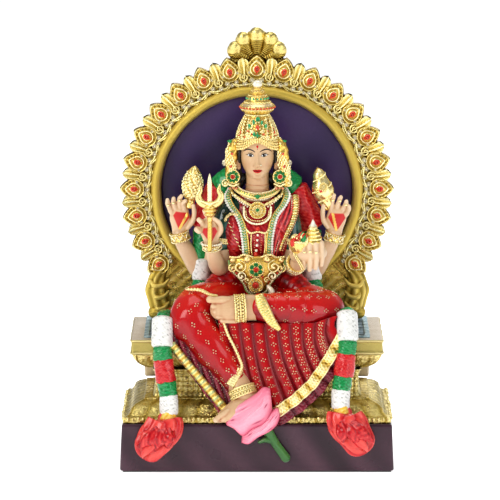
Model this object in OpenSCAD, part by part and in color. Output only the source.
// Seated four-armed goddess on a throne with a flame-leaf halo arch.
// A painted resin statue: moulded castings pinned and glued together.
// +Z is up, the statue faces -Y, and the origin is the middle of its felt base.
// "right" and "left" are the goddess's own sides, so right is -X.

/* [Plinth] */
// Width of the plinth
plinth_w = 185; // [178:1:196]
// Depth of the plinth
plinth_d = 100; // [98:1:110]
// Height of the plinth casting above its felt
plinth_h = 32; // [26:1:40]
// Thickness of the felt under the plinth
felt_t = 1; // [0.5:0.25:2]

/* [Throne] */
// Height of the lotus tier that stands on the plinth
tier_h = 15; // [12:1:18]
// Height of the narrow waist
waist_h = 18; // [14:1:24]
// Height of the fluted cornice under the seat
cornice_h = 12.5; // [10:0.5:16]
// Height of the seat slab's plain band
slab_h = 10; // [8:0.5:13]
// Width of the seat slab
slab_w = 171; // [166:1:176]
// Depth of the seat slab
slab_d = 84; // [82:1:86]
// Thickness of the painted mat on the seat
mat_t = 0.7; // [0.4:0.1:1.2]

/* [Halo arch] */
// Inner radius of the arch, which is the edge of the back disc
disc_r = 66; // [64:0.5:68]
// Radius of the circle that the flame medallions' stones lie on
stone_circle_r = 84.5; // [83:0.5:86]
// Outer radius of the arch's plate between its leaf tips
plate_r = 89; // [88:0.5:91]
// Number of flame medallions round the arch
medallions = 21; // [15:2:25]
// Angle between two medallions
medallion_step = 12.7; // [12:0.1:13]
// Height of the arch's centre above the seat slab
arch_up = 90.5; // [88:0.5:93]

/* [Crown] */
// Radius of the crown's brow band
crown_r = 16.3; // [15.5:0.1:17.5]
// Height of the crown from brow band to tip
crown_h = 46; // [42:1:50]

/* [Hidden] */

round_fn = 64;   // facets of turned shapes, which come out as true circles
limb_fn = 18;    // facets of the spheres that limbs are hulled from
fit_gap = 0.05;  // clearance between a pin and its hole, and between castings

tier_z = felt_t + plinth_h;
waist_z = tier_z + tier_h;
cornice_z = waist_z + waist_h;
slab_z = cornice_z + cornice_h;
seat_z = slab_z + slab_h;
slab_front = -38;                 // the seat slab's front face
throne_mid = slab_front + slab_d / 2;
mat_border = 9;                   // bare edge of the seat round its mat

plate_back = 44;                  // the arch's flat back
plate_front = 35;
rim_front = 29;
pin_r = 1.5;
pin_x = 42;
arch_pin_y = 39.5;
arch_base_half = 56;              // half width of the arch's foot block
hood_fan = 16.5;                  // radius of the fan that the cobra heads lie on
hood_head_r = 6;                  // radius of one cobra head
hood_angles = [-64, -34, 0, 34, 64];
hood_low = plate_r + 3.2;         // distance of the fan's centre from the arch's centre

// Joints of the figure: x, y, height above the seat, radius.
shoulder = [17, 0, 79, 7.5];
front_elbow = [23.5, -4, 44, 6];
front_wrist_right = [30.5, -17, 58, 4.2];
front_palm_right = [32, -20, 72, 6];
front_wrist_left = [30, -20, 50, 4.4];
front_palm_left = [37.5, -27, 56, 6.5];
rear_shoulder = [20, 9.5, 71, 6.8];
rear_elbow = [38, 12, 39, 6.4];
rear_wrist = [53, 6, 62, 4.4];
rear_palm = [52.5, 4, 79, 6.5];
hip = [13, 3, 19, 15.5];
right_knee = [43, -31, 18.5, 14.5];
right_shin_end = [14, -46.5, -24, 8.2];
left_knee = [43.5, -17, 17.5, 15];
left_shin_end = [1, -38, 23.5, 9];

// Each garland roll: start, end, radius. The list is one side's run, from neck to tassel.
white_rolls = [
  [[38, 10, 46], [38, 9, 34], 6.2],
  [[41, 8, 22.5], [49, 6, 12], 6.2],
  [[62, -41, 13], [62.3, -45.8, 0.5], 7],
  [[57.8, -50.6, -33.6], [57.6, -52, -45], 6]
];
green_rolls = [
  [[13, 12.5, 99], [22, 13, 93], 7.5],
  [[37.5, 14, 66], [38.3, 12, 48], 6.3],
  [[37.6, 8.4, 32], [40, 8, 24.5], 6],
  [[51, 5, 10.5], [56, -2, 9.5], 6],
  [[61.5, -27, 13.5], [62, -38, 14.5], 5.6],
  [[62.2, -46.4, -1.5], [61.7, -47, -9], 6.5],
  [[59.3, -49.3, -24.5], [58.1, -50.3, -32.6], 6.4]
];
red_rolls = [
  [[24, 13.3, 92], [37, 14, 69], 8],
  [[57, -4, 9.5], [61, -24.5, 12], 6.6],
  [[61.5, -47.3, -10], [59.6, -49, -23.4], 6.6]
];
tie_rolls = [[[57.8, -53.2, -46], [59.4, -54.6, -52.5], 6.2]];
tassel_mouth = [60, -55.6, -54];
tassel_end = [67, -58, -72];

// ---- shared shapes ----

module ball(p) {
  translate([p[0], p[1], p[2]]) sphere(r = p[3], $fn = limb_fn);
}

// A run of tapered limbs through balls given as x, y, z, radius.
module limb(balls) {
  for (i = [0 : len(balls) - 2])
    hull() {
      ball(balls[i]);
      ball(balls[i + 1]);
    }
}

function flip(p) = [-p[0], p[1], p[2], p[3]];
function side_point(p, s) = [s * p[0], p[1], p[2]];

// A round bar from a to b.
module bar(a, b, r) {
  d = b - a;
  translate(a)
    rotate([0, acos(d[2] / norm(d)), atan2(d[1], d[0])])
      cylinder(r = r, h = norm(d), $fn = round_fn);
}

// The garland's two sides hang a little unevenly: the left run is higher and nearer in.
module roll_run(rolls) {
  for (s = [-1, 1])
    for (roll = rolls)
      let (low = roll[0][1] < -30 ? 1 : 0)
        translate([-1.5 * low, 0, 2 * s * low])
          bar(side_point(roll[0], s), side_point(roll[1], s), roll[2]);
}

module on_seat() {
  translate([0, 0, seat_z]) children();
}

// Turns shapes drawn flat, with +Y outwards on the page, to face -Y round the arch's centre.
module on_arch(depth) {
  translate([0, depth, seat_z + arch_up]) rotate([90, 0, 0]) children();
}

function medallion_angle(i) = (i - (medallions - 1) / 2) * medallion_step;

// A leaf drawn flat: a round body with a pointed tip towards +Y.
module leaf_2d(r, tip) {
  circle(r = r, $fn = round_fn);
  polygon([[-r * 0.92, r * 0.39], [0, tip], [r * 0.92, r * 0.39]]);
}

// The top medallion's leaf with a little room round it, which the hood fits over.
module leaf_room() {
  circle(r = 7.7, $fn = round_fn);
  polygon([[-7.2, 2.9], [0, 11.3], [7.2, 2.9]]);
}

module plate_cut(w, d, h, z, y) {
  translate([-w / 2, y - d / 2, z]) cube([w, d, h]);
}

// ---- plinth and throne ----

module felt_pad() {
  color("dimgray") plate_cut(plinth_w - 4, plinth_d - 4, felt_t, 0, 0);
}

module plinth() {
  color([0.25, 0.15, 0.2]) plate_cut(plinth_w, plinth_d, plinth_h, felt_t, 0);
}

module throne_tier() {
  steps = [[0, 4, 0.35], [9, 12, 0.4], [25, 26, 0.25]];   // inset of width, of depth, share of height
  starts = [0, steps[0][2], steps[0][2] + steps[1][2]];
  color("goldenrod")
    for (i = [0 : 2])
      plate_cut(plinth_w - 4 - steps[i][0], plinth_d - 2 - steps[i][1],
                tier_h * steps[i][2], tier_z + tier_h * starts[i], 0);
}

module throne_waist() {
  color("darkgoldenrod") plate_cut(slab_w - 33, slab_d - 20, waist_h, waist_z, throne_mid);
}

module throne_back_ledge() {
  color("tan") plate_cut(156, 7, 12, waist_z, 39.6);
}

module throne_cornice() {
  color("goldenrod")
    for (i = [0 : 2])
      plate_cut(slab_w - 22 + 9 * i, slab_d - 14 + 6 * i, cornice_h / 3,
                cornice_z + i * cornice_h / 3, throne_mid);
}

module pin_holes() {
  for (s = [-1, 1])
    translate([s * pin_x, arch_pin_y, seat_z - 9])
      cylinder(r = pin_r + fit_gap, h = 20, $fn = round_fn);
  translate([0, 6, seat_z - 9]) cylinder(r = pin_r + fit_gap, h = 18, $fn = round_fn);
}

module seat_slab() {
  color("gold")
    difference() {
      plate_cut(slab_w, slab_d, slab_h, slab_z, throne_mid);
      pin_holes();
    }
}

module seat_mat() {
  color([0.45, 0.58, 0.6])
    difference() {
      translate([-slab_w / 2 + mat_border, slab_front + mat_border, seat_z])
        cube([slab_w - 2 * mat_border, slab_d - mat_border, mat_t]);
      pin_holes();
    }
}

module steel_pins() {
  color("silver") {
    for (s = [-1, 1])
      translate([s * pin_x, arch_pin_y, seat_z - 8.8]) cylinder(r = pin_r, h = 19, $fn = round_fn);
    translate([0, 6, seat_z - 8.8]) cylinder(r = pin_r, h = 17, $fn = round_fn);
  }
}

// ---- halo arch ----

module arch_plate() {
  foot_top = arch_up - disc_r * 0.72;
  color([0.72, 0.55, 0.15])
    difference() {
      union() {
        on_arch(plate_back)
          linear_extrude(plate_back - plate_front)
            union() {
              circle(r = plate_r, $fn = 96);
              for (i = [0 : medallions - 1])
                rotate(medallion_angle(i)) translate([0, stone_circle_r]) leaf_2d(7.6, 11);
            }
        translate([-arch_base_half, plate_front, seat_z + mat_t])
          cube([2 * arch_base_half, plate_back - plate_front, foot_top - mat_t]);
      }
      // The round seat of the back disc.
      on_arch(plate_back + 1) cylinder(r = disc_r, h = 30, $fn = 128);
      pin_holes();
      // Below the last medallions the plate ends, and the feet carry it.
      for (s = [-1, 1])
        translate([s * (arch_base_half + 30), plate_back / 2 + 20, seat_z + 14])
          cube([60, 60, 40], center = true);
    }
}

module arch_rim() {
  color("goldenrod")
    on_arch(plate_front)
      rotate_extrude($fn = 128)
        translate([disc_r, 0])
          polygon([[0, 0], [0, 3.4], [1.2, 5.2], [3, 6], [5, 5.2], [6.6, 3.2], [7, 0]]);
}

module on_each_medallion(depth) {
  for (i = [0 : medallions - 1])
    on_arch(depth)
      rotate(medallion_angle(i))
        translate([0, stone_circle_r])
          children();
}

module arch_medallions() {
  color("gold")
    on_each_medallion(plate_front) {
      linear_extrude(2.2) leaf_2d(7.4, 11.4);
      translate([0, 0, 2.2]) linear_extrude(1.6) leaf_2d(5, 7.8);
    }
}

module arch_stones() {
  color("crimson")
    on_each_medallion(plate_front - 3.8)
      cylinder(r1 = 2.5, r2 = 1.5, h = 1.6, $fn = 32);
}

module arch_leaf_tips() {
  color("goldenrod")
    for (i = [0 : medallions - 2])
      on_arch(plate_front + 5)
        rotate(medallion_angle(i + 0.5))
          translate([0, plate_r - 1])
            difference() {
              linear_extrude(7) polygon([[-6, 0.8], [-3.4, 4.2], [0, 7.2], [3.4, 4.2], [6, 0.8]]);
              translate([0, 1 - plate_r, -1]) cylinder(r = plate_r + fit_gap, h = 10, $fn = 96);
            }
}

// C-scrolls between the rim and the medallions, one under each gap.
module arch_scrolls() {
  color("goldenrod")
    for (i = [0 : medallions - 2])
      on_arch(plate_front)
        rotate(medallion_angle(i + 0.5))
          translate([0, disc_r + 10.6])
            rotate_extrude($fn = 24) translate([2.1, 0]) square([1.4, 2.6]);
}

module arch_foot() {
  translate([66, 0, 22]) rotate([90, 0, 0]) cylinder(r = 9.5, h = 13, $fn = round_fn);
  translate([65, -6.5, 9]) sphere(r = 8, $fn = round_fn);
}

module arch_foot_at(s) {
  difference() {
    translate([0, plate_back - 1, seat_z]) scale([s, 1, 1]) arch_foot();
    arch_plate_blank();
    translate([-100, 0, seat_z - 40]) cube([200, 80, 40 + mat_t]);
  }
}

// The arch's outline alone, to cut the feet to.
module arch_plate_blank() {
  on_arch(plate_back + 1) cylinder(r = plate_r, h = 12, $fn = 96);
  translate([-arch_base_half, 20, seat_z - 1]) cube([2 * arch_base_half, 26, 50]);
}

module arch_foot_right() {
  color("darkgoldenrod") arch_foot_at(-1);
}

module arch_foot_left() {
  color("darkgoldenrod") arch_foot_at(1);
}

module back_disc() {
  color([0.22, 0.15, 0.4])
    on_arch(plate_back - 1) cylinder(r = disc_r - fit_gap, h = 5, $fn = 128);
}

// Five cobra heads in a fan over the arch's top.
module serpent_hood() {
  color("gold") {
    on_arch(42)
      linear_extrude(8)
        difference() {
          union() {
            polygon([[-10, plate_r - 5], [10, plate_r - 5], [18, hood_low + 9], [-18, hood_low + 9]]);
            for (a = hood_angles)
              translate([hood_fan * sin(a), hood_low + hood_fan * cos(a)]) circle(r = hood_head_r, $fn = 40);
            translate([0, hood_low + 7]) circle(r = 14, $fn = 48);
          }
          circle(r = plate_r + fit_gap, $fn = 96);
          rotate(medallion_angle((medallions - 1) / 2))
            translate([0, stone_circle_r]) leaf_room();
        }
    on_arch(34)
      for (a = hood_angles)
        translate([hood_fan * sin(a), hood_low + hood_fan * cos(a), 0])
          sphere(r = hood_head_r - 0.5, $fn = 32);
  }
}

// ---- figure ----

module torso_core() {
  limb([[-12, 3, 82, 7.5], [12, 3, 82, 7.5]]);
  limb([[0, 2, 84, 8], [0, 0, 63, 12.5], [0, 1, 44, 11]]);
  hull() {
    ball([-8, 3, 78, 8]);
    ball([8, 3, 78, 8]);
    ball([0, 0, 60, 12]);
  }
}

module neck(grow) {
  translate([0, 0.5, 80]) cylinder(r = 5.8 + grow, h = 24, $fn = 32);
}

module torso() {
  color("firebrick") on_seat() difference() {
    torso_core();
    neck(fit_gap);
  }
}

module skull() {
  hull() {
    ball([0, 0, 119, 12.4]);
    ball([0, -4.5, 106, 7.6]);
  }
}

module head() {
  color([0.93, 0.8, 0.68]) on_seat() {
    skull();
    neck(0);
  }
}

module hair() {
  color([0.08, 0.05, 0.05])
    on_seat()
      difference() {
        hull() {
          ball([0, 4, 118, 12.6]);
          ball([0, 9, 100, 7.5]);
        }
        skull();
        crown_solid();
        translate([-30, -40, 60]) cube([60, 38, 100]);
        translate([0, 0.5, 80]) cylinder(r = 6, h = 30, $fn = 32);
        torso_core();
        for (s = [-1, 1])
          bar(side_point(green_rolls[0][0], s), side_point(green_rolls[0][1], s), green_rolls[0][2] + 0.2);
      }
}

// The crown's outline: brow band, cone, flared cushion, stacked knobs and tip.
module crown_solid() {
  r = crown_r;
  h = crown_h;
  translate([0, 1, 126])
    rotate_extrude($fn = round_fn)
      polygon([
        [0, 0], [r - 1, 0], [r, 1.5], [r - 0.3, 5], [r - 2.6, h * 0.26],
        [r * 0.68, h * 0.4], [r * 0.54, h * 0.5], [r * 0.56, h * 0.54],
        [r * 0.74, h * 0.61], [r * 0.74, h * 0.66], [r * 0.52, h * 0.73],
        [r * 0.42, h * 0.79], [r * 0.26, h * 0.84], [r * 0.22, h * 0.93], [0, h]
      ]);
}

module crown() {
  color("gold") on_seat() difference() {
    crown_solid();
    skull();
  }
}

// Stones set in a ring on the crown's front: angle from the front, height, radius of the crown there.
module crown_stone(a, z, ring, r) {
  translate([ring * sin(a), 1 - ring * cos(a), 126 + z]) sphere(r = r, $fn = 20);
}

module crown_red_stones() {
  color("red") on_seat() {
    for (a = [-50 : 25 : 50]) crown_stone(a, 9.5 - abs(a) / 50, 15.2, 1.3);
    for (a = [-75 : 25 : 75]) crown_stone(a, 29, 12.7, 1);
  }
}

module crown_green_stones() {
  color("green") on_seat() {
    crown_stone(0, 17, 12.4, 1.7);
    for (a = [-22, 22]) crown_stone(a, 14.5, 13.4, 1.3);
    for (a = [-12, 12]) crown_stone(a, 4.6, 16.9, 1.1);
    for (a = [-40, 0, 40]) crown_stone(a, 34.5, 8.4, 0.9);
  }
}

module ear_ornaments() {
  color("gold") on_seat() difference() {
    for (s = [-1, 1])
      limb([[s * 14.5, -1, 124, 3.6], [s * 17.5, 0, 114, 3.6], [s * 16.5, -1, 104, 3.6]]);
    skull();
    crown_solid();
    for (s = [-1, 1])
      translate([s * 13.2, -4, 105]) rotate([90, 0, s * 25]) cylinder(r = 5.3, h = 6, $fn = 32);
    translate([-30, 2.3, 90]) cube([60, 20, 60]);
  }
}

module earrings() {
  color("seagreen") on_seat()
    for (s = [-1, 1])
      translate([s * 13.2, -5.5, 105]) rotate([90, 0, s * 25]) cylinder(r = 5.2, h = 2.6, $fn = 32);
}

// A band that lies on the chest as a ring tilted forwards.
module collar(ring, z, tilt, section) {
  translate([0, 2, z]) rotate([tilt, 0, 0])
    rotate_extrude($fn = 48) translate([ring, 0]) circle(r = section, $fn = 16);
}

// The front of a collar, kept to where it stands clear of the shoulders.
module collar_front(ring, z, tilt, section, back) {
  difference() {
    collar(ring, z, tilt, section);
    translate([-40, back, 60]) cube([80, 40, 40]);
  }
}

module necklaces() {
  color("gold") on_seat() difference() {
    union() {
      collar_front(12, 98.9, 22, 1.8, -2.5);
      collar_front(15.5, 95.5, 40, 1.8, -4);
    }
    torso_core();
    skull();
    pallu_core();
  }
}

module pendant() {
  color("yellow") on_seat() difference() {
    translate([0, -6, 84.6]) rotate([98, 0, 0]) cylinder(r = 5.9, h = 8.4, $fn = 40);
    torso_core();
    collar(15.5, 95.5, 40, 1.85);
    collar(12, 98.9, 22, 1.85);
  }
}

// Two long strings that run from the shoulders to the belt.
module chest_garlands() {
  color([0.8, 0.9, 0.6]) on_seat() difference() {
    for (s = [-1, 1])
      limb([[s * 17.5, 0, 92, 2], [s * 14.5, -6, 85, 2], [s * 9.5, -10.5, 75, 2],
            [s * 7.5, -12, 66, 2], [s * 7, -11, 53.6, 2]]);
    torso_core();
    collar(15.5, 95.5, 40, 1.85);
    collar(12, 98.9, 22, 1.85);
    translate([0, -5, 84.6]) rotate([98, 0, 0]) cylinder(r = 6, h = 10, $fn = 40);
  }
}

module pallu_core() {
  hull() {
    ball([20.5, -1, 89, 3]);
    ball([13.5, -11, 67, 3]);
    ball([12, -9.5, 55, 3]);
    ball([20.5, -5, 74, 3]);
  }
}

module sari_pallu() {
  color("firebrick") on_seat() difference() {
    pallu_core();
    torso_core();
    sleeve(1);
    limb([[17.5, 0, 92, 2.1], [14.5, -6, 85, 2.1], [9.5, -10.5, 75, 2.1], [7.5, -12, 66, 2.1],
          [7, -11, 53.6, 2.1]]);
    collar(15.5, 95.5, 40, 1.85);
  }
}

module waist_belt() {
  color("gold") on_seat()
    difference() {
      translate([0, 1, 45]) cylinder(r = 14, h = 8, $fn = 48);
      torso_core();
      lap_core();
      translate([-30, -21, 30]) cube([60, 11.5, 30]);
    }
}

module belt_buckle() {
  color("gold") on_seat() difference() {
    union() {
      hull() {
        translate([-15, -12, 49]) rotate([90, 0, 0]) cylinder(r = 4.5, h = 4, $fn = 24);
        translate([15, -12, 49]) rotate([90, 0, 0]) cylinder(r = 4.5, h = 4, $fn = 24);
        translate([0, -14, 44]) rotate([90, 0, 0]) cylinder(r = 8, h = 6, $fn = 24);
      }
      translate([0, -15, 34]) rotate([90, 0, 0]) cylinder(r = 7, h = 6, $fn = 32);
    }
    torso_core();
    lap_core();
    limb([left_knee + [-2, -3, 0, 0], left_shin_end]);
  }
}

module sleeve(s) {
  limb([[s * 18, 0.5, 81.5, 8.8], [s * 20.5, -3, 61, 8.3]]);
}

module sleeves() {
  color("darkslategray") on_seat() difference() {
    for (s = [-1, 1]) sleeve(s);
    torso_core();
    for (s = [-1, 1]) upper_arm(s);
    for (s = [-1, 1])
      limb([[s * rear_shoulder[0], rear_shoulder[1], rear_shoulder[2], 7],
            [s * rear_elbow[0], rear_elbow[1], rear_elbow[2], 6.4]]);
  }
}

module upper_arm(s) {
  limb([[s * shoulder[0], shoulder[1], shoulder[2], 6.4],
        [s * front_elbow[0], front_elbow[1], front_elbow[2], front_elbow[3]]]);
}

module front_right_arm() {
  color([0.93, 0.8, 0.68]) on_seat() difference() {
    union() {
      upper_arm(-1);
      limb([flip(front_elbow), flip(front_wrist_right), flip(front_palm_right)]);
      limb([flip(front_palm_right), [-33, -20, 79, 4.5]]);
    }
    torso_core();
    trident_solid(0.1);
  }
}

module front_left_arm() {
  color([0.93, 0.8, 0.68]) on_seat() difference() {
    union() {
      upper_arm(1);
      limb([front_elbow, front_wrist_left, front_palm_left]);
      limb([front_palm_left, [40.5, -27, 47, 4.5]]);
    }
    torso_core();
    bowl_solid(0.1);
    lap_core();
    offering_solid(0.1);
  }
}

module rear_right_arm() {
  color([0.93, 0.8, 0.68]) on_seat() difference() {
    union() {
      limb([flip(rear_shoulder), flip(rear_elbow), flip(rear_wrist), flip(rear_palm)]);
      limb([flip(rear_palm), [-55.5, 4, 87, 4.5]]);
    }
    torso_core();
    bud_solid(0.1);
    upper_arm(-1);
    garland_clear(-1);
  }
}

module rear_left_arm() {
  color([0.93, 0.8, 0.68]) on_seat() difference() {
    union() {
      limb([rear_shoulder, rear_elbow, rear_wrist, rear_palm]);
      limb([rear_palm, [57, 4, 86, 4.5]]);
    }
    torso_core();
    conch_solid(0.1);
    upper_arm(1);
    garland_clear(1);
  }
}

// The upper rolls of one side, to keep the rear arm out of them.
module garland_clear(s) {
  for (roll = [white_rolls[0], green_rolls[1], red_rolls[0]])
    bar(side_point(roll[0], s), side_point(roll[1], s), roll[2] + 0.1);
}

module bracelets() {
  rings = [
    [flip(front_wrist_right), flip(front_palm_right)], [front_wrist_left, front_palm_left],
    [flip(rear_wrist), flip(rear_palm)], [rear_wrist, rear_palm]
  ];
  color("gold") on_seat()
    for (r = rings)
      let (a = [r[0][0], r[0][1], r[0][2]], b = [r[1][0], r[1][1], r[1][2]], u = (b - a) / norm(b - a))
        difference() {
          bar(a - 1 * u, a + 3.5 * u, 6.6);
          bar(a - 2 * u, a + 4.5 * u, 5.6);
        }
}

module trident_solid(grow) {
  translate([-32.6, -24.5, 0]) {
    translate([0, 0, 62]) cylinder(r = 1.6 + grow, h = 26, $fn = 24);
    translate([0, 0, 85]) cylinder(r = 3.4 + grow, h = 4, $fn = 24);
    translate([0, 0, 89]) cylinder(r1 = 2 + grow, r2 = 0.6 + grow, h = 22.5, $fn = 24);
    for (s = [-1, 1]) {
      bar([0, 0, 89.5], [s * 7, 0, 94], 1.5 + grow);
      bar([s * 7, 0, 93], [s * 7.4, 0, 101], 1.4 + grow);
      translate([s * 7.4, 0, 101]) cylinder(r1 = 1.6 + grow, r2 = 0.4, h = 5, $fn = 24);
    }
  }
}

module trident() {
  color("gold") on_seat() trident_solid(0);
}

module bud_solid(grow) {
  limb([[-48.5, 3, 84, 4 + grow], [-45, 3, 97, 7.4 + grow], [-42, 3, 109, 3.5 + grow]]);
}

module lotus_bud() {
  color("gold") on_seat() difference() {
    bud_solid(0);
    garland_clear(-1);
  }
}

module conch_solid(grow) {
  limb([[47, 3, 85, 3.6 + grow], [43.5, 3, 98, 7.6 + grow], [39.5, 3, 108, 3.6 + grow]]);
}

module conch() {
  color("gold") on_seat() difference() {
    conch_solid(0);
    garland_clear(1);
  }
}

module bowl_solid(grow) {
  translate([28.5, -31, 58])
    cylinder(r1 = 4 + grow, r2 = 8 + grow, h = 7 + grow, $fn = 40);
}

module bowl() {
  color("gold") on_seat()
    difference() {
      bowl_solid(0);
      translate([28.5, -31, 59.5]) cylinder(r1 = 3.4, r2 = 7.2, h = 6, $fn = 40);
    }
}

module offering_solid(grow) {
  translate([28.5, -31, 59.55]) cylinder(r1 = 3.2 + grow, r2 = 6.6 + grow, h = 5, $fn = 40);
  translate([28.5, -31, 64.5]) cylinder(r1 = 5 + grow, r2 = 1, h = 8, $fn = 40);
}

module bowl_offering() {
  color("gold") on_seat() {
    offering_solid(0);
    translate([38.7, -29, 63.2]) cylinder(r1 = 5, r2 = 0.8, h = 13, $fn = 32);
  }
}

// ---- garments ----

module lap_core() {
  hull() {
    ball([-13, 4, 18, 16.5]);
    ball([13, 4, 18, 16.5]);
    ball([0, 1, 34, 12.5]);
  }
}

module above_seat() {
  intersection() {
    children();
    translate([-100, -100, mat_t]) cube([200, 200, 200]);
  }
}

module lap_drape() {
  color("crimson") on_seat() above_seat() difference() {
    lap_core();
    torso_core();
    translate([0, 6, -10]) cylinder(r = pin_r + fit_gap, h = 19, $fn = round_fn);
  }
}

module right_leg_core(grow) {
  limb([[-hip[0], hip[1], hip[2], hip[3] + grow],
        [-right_knee[0], right_knee[1], right_knee[2], right_knee[3] + grow],
        [-right_shin_end[0], right_shin_end[1], right_shin_end[2], right_shin_end[3] + grow]]);
}

module seat_clear() {
  translate([-120, slab_front - 0.4, -60]) cube([240, 160, 60 + mat_t]);
}

module right_leg_drape() {
  color("red") on_seat() difference() {
    right_leg_core(0);
    lap_core();
    seat_clear();
    garland_near(-1);
  }
}

// The seat-level rolls of one side, which pass round the knee.
module garland_near(s) {
  for (roll = [red_rolls[1], green_rolls[3], white_rolls[1], green_rolls[4], green_rolls[2]])
    bar(side_point(roll[0], s), side_point(roll[1], s), roll[2] + 0.1);
}

module left_leg_core(grow) {
  limb([[hip[0], hip[1], hip[2], hip[3] + grow], [left_knee[0], left_knee[1], left_knee[2], left_knee[3] + grow]]);
  limb([[left_knee[0] - 2, left_knee[1] - 4, left_knee[2], left_knee[3] - 1 + grow],
        [left_shin_end[0], left_shin_end[1], left_shin_end[2], left_shin_end[3] + grow]]);
}

module left_leg_drape() {
  color("red") on_seat() difference() {
    left_leg_core(0);
    lap_core();
    right_leg_core(0.05);
    seat_clear();
    garland_near(1);
  }
}

// A flat cloth panel, drawn as x and height, that leans outwards towards its foot.
module panel(points, front, thick) {
  translate([0, front, 0]) rotate([-7.5, 0, 0]) rotate([90, 0, 0])
    linear_extrude(thick) polygon(points);
}

pleat_outline = [
  [-20, 14], [-14, -20], [-6, -38], [3, -47], [16, -42], [34, -26], [46, -9], [54, 6], [40, 10], [10, 14]
];

module front_pleats() {
  color("red") on_seat() difference() {
    panel(pleat_outline, -42, 5);
    right_leg_core(0.1);
    left_leg_core(0.1);
    seat_clear();
  }
}

module under_sari() {
  color("maroon") on_seat() difference() {
    union() {
      panel([[-57, 6], [-57, -4], [-40, -24], [-20, -50], [0, -52], [4, -48], [-14, -16], [-20, 8]], -39.2, 2.6);
      panel([[58, 8], [60, 2], [46, -20], [24, -46], [10, -52], [2, -48], [40, -8], [50, 6]], -39.2, 2.6);
    }
    right_leg_core(0.1);
    left_leg_core(0.1);
    seat_clear();
  }
}

// Gold borders: along the pleats' foot, the left panel's foot and the crossed leg's cuff.
module hem_borders() {
  color("gold") on_seat() difference() {
    union() {
      panel([[3, -47.2], [16, -42.2], [34, -26.2], [46, -9.2], [54.2, 6], [58, 4], [50, -12],
             [38, -29], [19, -46], [4, -51]], -42, 5.4);
      panel([[-57, 2], [-57, -3], [-38, -23], [-19, -46], [-14, -46], [-34, -19]], -42, 2.2);
    }
    right_leg_core(0.1);
    left_leg_core(0.1);
    seat_clear();
  }
}

// Everything behind the plane of the pleats' front, for what hangs in front of them.
module behind_pleats() {
  translate([0, -47.2, 0]) rotate([-7.5, 0, 0]) translate([-100, -0.1, -90]) cube([200, 100, 150]);
}

module right_foot() {
  color([0.95, 0.83, 0.68]) on_seat() difference() {
    limb([[-3, -50, -27, 4.6], [-12, -55, -38, 5], [-25, -57.5, -47, 3.6]]);
    right_leg_core(0.1);
    behind_pleats();
  }
}

module left_foot() {
  color([0.95, 0.83, 0.68]) on_seat() difference() {
    limb([[-5, -39.5, 24, 6], [-17, -42, 25.5, 6.2], [-29, -42.5, 25.8, 4.8]]);
    left_leg_core(0.1);
    right_leg_core(0.1);
  }
}

module anklet(a, b, r) {
  u = (b - a) / norm(b - a);
  difference() {
    bar(a, a + 4 * u, r + 1.1);
    bar(a - u, a + 5 * u, r);
  }
}

module anklets() {
  color("gold") on_seat() {
    difference() {
      anklet([-10, -40.5, 24.5], [-20, -42, 25.5], 6.9);
      right_leg_core(0.1);
    }
    difference() {
      anklet([-5.5, -51.5, -30], [-12, -55, -38], 5.7);
      behind_pleats();
      right_leg_core(0.1);
    }
  }
}

module lotus_bloom() {
  color("pink") on_seat() difference() {
    hull() {
      ball([-8, -58.6, -47, 7]);
      ball([3, -58.6, -38, 6]);
      ball([7, -58.6, -46, 6]);
      ball([-12, -58.6, -54, 6]);
      ball([-3, -58.6, -60, 7]);
    }
    limb([[-3, -50, -27, 4.7], [-12, -55, -38, 5.1], [-25, -57.5, -47, 3.7]]);
    translate([-120, 0.15 - plinth_d / 2 - 0.3, -100]) cube([240, 100, 100 - (seat_z - tier_z) + 0.2]);
    panel(pleat_outline, -42, 5.1);
    panel([[3, -47.2], [16, -42.2], [34, -26.2], [19, -46], [4, -51]], -42, 5.5);
    anklet([-5.5, -51.5, -30], [-12, -55, -38], 5.7);
  }
}

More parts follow.
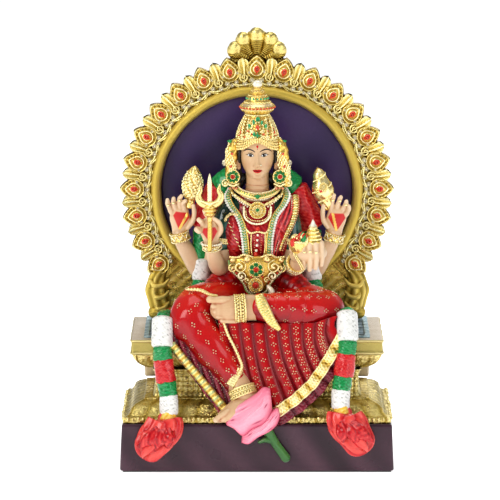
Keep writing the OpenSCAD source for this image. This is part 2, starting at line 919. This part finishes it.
module lotus_stem() {
  color("darkolivegreen") on_seat() difference() {
    limb([[6, -56, -62, 3], [11, -54.5, -68, 2.2], [19, -53.4, -77, 2.6]]);
    hull() {
      ball([7, -58.6, -46, 6.1]);
      ball([-12, -58.6, -54, 6.1]);
      ball([-3, -58.6, -60, 7.1]);
    }
    translate([-60, -plinth_d / 2 - 0.1, -100]) cube([120, 60, 60]);
  }
}

// ---- garland ----

module garland_white_rolls() {
  color("whitesmoke") on_seat() roll_run(white_rolls);
}

module garland_green_rolls() {
  color("forestgreen") on_seat() roll_run(green_rolls);
}

module garland_red_rolls() {
  color("indianred") on_seat() roll_run(red_rolls);
}

module garland_ties() {
  color("orange") on_seat() roll_run(tie_rolls);
}

module garland_tassels() {
  color("red") on_seat()
    for (s = [-1, 1])
      translate([-1.5, 0, 2 * s])
        difference() {
          hull() {
            translate([s * tassel_mouth[0], tassel_mouth[1], tassel_mouth[2]])
              sphere(r = 4, $fn = limb_fn);
            for (k = [-1, 0, 1])
              translate([s * (tassel_end[0] + 8 * k), tassel_end[1], tassel_end[2] + 7 * max(k, 0)])
                sphere(r = 5, $fn = limb_fn);
          }
          translate([-120, -plinth_d / 2 - 0.1, -100]) cube([240, 100, 100]);
          bar(side_point(tie_rolls[0][0], s), side_point(tie_rolls[0][1], s), 6.3);
        }
}

felt_pad();
plinth();
throne_tier();
throne_waist();
throne_back_ledge();
throne_cornice();
seat_slab();
seat_mat();
steel_pins();
arch_plate();
arch_rim();
arch_medallions();
arch_stones();
arch_leaf_tips();
arch_scrolls();
arch_foot_right();
arch_foot_left();
back_disc();
serpent_hood();
torso();
head();
hair();
crown();
crown_red_stones();
crown_green_stones();
ear_ornaments();
earrings();
necklaces();
pendant();
chest_garlands();
sari_pallu();
waist_belt();
belt_buckle();
sleeves();
front_right_arm();
front_left_arm();
rear_right_arm();
rear_left_arm();
bracelets();
trident();
lotus_bud();
conch();
bowl();
bowl_offering();
lap_drape();
right_leg_drape();
left_leg_drape();
front_pleats();
under_sari();
hem_borders();
right_foot();
left_foot();
anklets();
lotus_bloom();
lotus_stem();
garland_white_rolls();
garland_green_rolls();
garland_red_rolls();
garland_ties();
garland_tassels();
